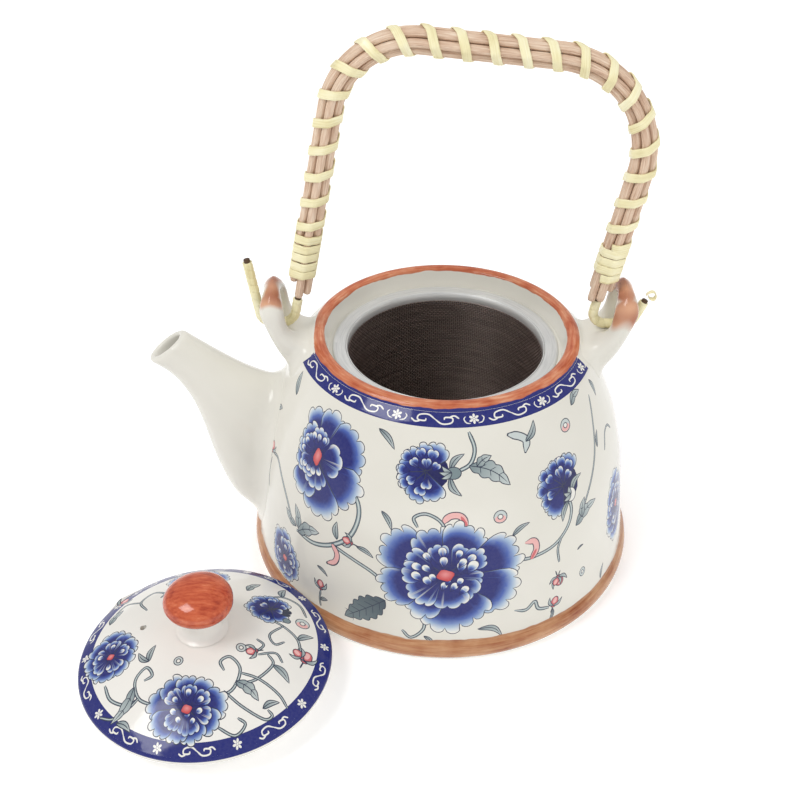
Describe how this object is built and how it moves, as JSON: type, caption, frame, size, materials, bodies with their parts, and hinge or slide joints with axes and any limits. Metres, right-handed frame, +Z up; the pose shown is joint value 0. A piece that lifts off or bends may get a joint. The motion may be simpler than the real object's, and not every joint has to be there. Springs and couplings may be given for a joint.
{
  "type": "teapot",
  "caption": "Squat porcelain teapot with a blue peony pattern, a swinging cane bail handle, a lift-out steel mesh infuser and a domed lid that lies beside it.",
  "frame": {"origin": "centre of the pot's foot on the table, on the pot's axis", "axes": "+Z up; the spout points towards -X; the bail handle stands in the XZ plane; the lid lies towards -X and -Y"},
  "size_m": [0.1972, 0.1974, 0.1998],
  "materials": {
    "glaze": "gloss",
    "knob_glaze": "gloss",
    "cane": "raw, fibrous",
    "strip": "smooth rattan skin",
    "flange_steel": "satin",
    "mesh_steel": "woven wire"
  },
  "bodies": {
    "pot": {"pot_body": "glaze", "pot_floor": "glaze", "spout": "glaze", "lug_spout_side": "glaze", "lug_back_side": "glaze"},
    "handle": {"cane_1": "cane", "cane_2": "cane", "cane_3": "cane", "cane_4": "cane", "cane_5": "cane", "cane_6": "cane", "cane_core": "cane", "binding_strip": "strip", "whipping_left": "strip", "whipping_right": "strip", "hook_left_core": "cane", "hook_left_wrap": "strip", "hook_right_core": "cane", "hook_right_wrap": "strip", "strip_tail": "strip"},
    "infuser": {"infuser_flange": "flange_steel", "infuser_collar": "mesh_steel", "infuser_mesh_wall": "mesh_steel", "infuser_mesh_floor": "mesh_steel", "infuser_seam_ring": "flange_steel"},
    "lid": {"lid_shell": "glaze", "lid_knob": "knob_glaze"}
  },
  "joints": [
    {"name": "handle_swing", "type": "hinge", "parent": "pot", "child": "handle", "pos_m": [0, 0, 0.0943], "axis": [1, 0, 0], "range_deg": [-70, 70]},
    {"name": "infuser_lift", "type": "slide", "parent": "pot", "child": "infuser", "axis": [0, 0, 1], "range_m": [0, 0.04]},
    {"name": "lid_lift", "type": "slide", "parent": "pot", "child": "lid", "axis": [0, 0, 1], "range_m": [0, 0.06]}
  ]
}
